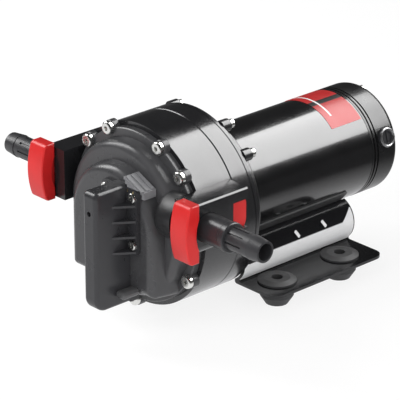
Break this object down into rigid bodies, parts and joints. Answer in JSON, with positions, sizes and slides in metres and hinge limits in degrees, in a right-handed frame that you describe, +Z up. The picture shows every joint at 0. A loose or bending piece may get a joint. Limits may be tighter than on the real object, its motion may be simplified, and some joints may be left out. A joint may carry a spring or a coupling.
{
  "type": "caravan water pump",
  "caption": "Self-contained diaphragm water pump with side hose fittings, slide clips, pressure switch, long round motor and rubber-footed bracket",
  "frame": {"origin": "on the floor under the rubber feet, at the centre of the four foot holes", "axes": "+X along the pump axis from the switch box towards the motor's rear, +Y towards the inlet fitting, +Z up"},
  "size_m": [0.2688, 0.2528, 0.138],
  "materials": {
    "housing_black": "glossy moulded black plastic",
    "cover_black": "satin moulded black plastic",
    "switch_black": "satin moulded black plastic",
    "fitting_black": "satin moulded black plastic",
    "clip_red": "moulded red plastic",
    "steel": "stainless screws",
    "zinc_steel": "plated steel",
    "boot_rubber": "grey-black ribbed rubber",
    "seal_rubber": "soft black rubber",
    "foot_rubber": "black rubber",
    "inner_white": "moulded plastic",
    "cast": "die cast, dark coated outside",
    "can_black": "glossy black enamel on drawn steel",
    "bracket_black": "semi-gloss black coating on stamped steel",
    "magnet": "sintered magnet, dark grey",
    "core": "stacked steel sheets",
    "winding": "enamelled copper wire",
    "copper": "copper bars",
    "carbon": "carbon brush block",
    "brass": "brass",
    "label": "plain printed label film, no words"
  },
  "bodies": {
    "pump": {"front_cover": "cover_black", "valve_housing": "housing_black", "drive_housing": "housing_black", "head_screws": "steel", "switch_housing": "switch_black", "switch_screws": "steel", "switch_diaphragm": "seal_rubber", "microswitch": "switch_black", "switch_spring": "zinc_steel", "switch_terminals": "brass", "terminal_boot": "boot_rubber", "inlet_valves": "seal_rubber", "outlet_valve": "seal_rubber", "diaphragm": "seal_rubber", "motor_front_plate": "cast", "plate_screws": "zinc_steel", "front_bearing": "zinc_steel", "rear_bearing": "zinc_steel", "motor_can": "can_black", "magnets": "magnet", "motor_label": "label", "end_bell": "can_black", "through_bolts": "zinc_steel", "brush_card": "inner_white", "brush_holders": "brass", "brushes": "carbon", "brush_springs": "zinc_steel", "brush_caps": "switch_black", "lead_grommet": "seal_rubber", "bracket": "bracket_black", "cradle_liner": "foot_rubber", "rubber_feet": "foot_rubber"},
    "rotor": {"slanted_hub": "zinc_steel", "hub_ring": "zinc_steel", "motor_shaft": "zinc_steel", "armature_core": "core", "armature_windings": "winding", "commutator": "copper"},
    "wobble": {"wobble_plate": "inner_white", "wobble_bearing": "zinc_steel", "diaphragm_centres": "seal_rubber", "pistons": "inner_white", "backing_plates": "zinc_steel", "piston_screws": "zinc_steel"},
    "inlet_clip": {"inlet_clip": "clip_red"},
    "outlet_clip": {"outlet_clip": "clip_red"},
    "inlet_fitting": {"inlet_fitting": "fitting_black", "inlet_seal": "seal_rubber"},
    "outlet_fitting": {"outlet_fitting": "fitting_black", "outlet_seal": "seal_rubber"},
    "switch_plunger": {"switch_plunger": "inner_white", "switch_button": "inner_white"},
    "adjusting_screw": {"adjusting_screw": "zinc_steel"}
  },
  "joints": [
    {"name": "motor_turn", "type": "hinge", "parent": "pump", "child": "rotor", "pos_m": [-0.069, 0, 0.074], "axis": [1, 0, 0], "continuous": true},
    {"name": "wobble_turn", "type": "hinge", "parent": "rotor", "child": "wobble", "pos_m": [-0.069, 0, 0.074], "axis": [0.9986, 0, 0.0523], "continuous": true},
    {"name": "inlet_clip_slide", "type": "slide", "parent": "pump", "child": "inlet_clip", "axis": [-1, 0, 0], "range_m": [0, 0.015]},
    {"name": "outlet_clip_slide", "type": "slide", "parent": "pump", "child": "outlet_clip", "axis": [-1, 0, 0], "range_m": [0, 0.015]},
    {"name": "inlet_fitting_turn", "type": "hinge", "parent": "pump", "child": "inlet_fitting", "pos_m": [-0.1175, 0.06, 0.0895], "axis": [0, 1, 0], "continuous": true},
    {"name": "outlet_fitting_turn", "type": "hinge", "parent": "pump", "child": "outlet_fitting", "pos_m": [-0.1175, -0.06, 0.0895], "axis": [0, -1, 0], "continuous": true},
    {"name": "plunger_slide", "type": "slide", "parent": "pump", "child": "switch_plunger", "axis": [-1, 0, 0], "range_m": [0, 0.0005]},
    {"name": "adjuster_turn", "type": "hinge", "parent": "pump", "child": "adjusting_screw", "pos_m": [-0.16, -0.0133, 0.094], "axis": [-1, 0, 0], "range_deg": [-180, 180]}
  ],
  "couplings": [
    {"joint": "wobble_turn", "follows": "motor_turn", "ratio": -1}
  ]
}
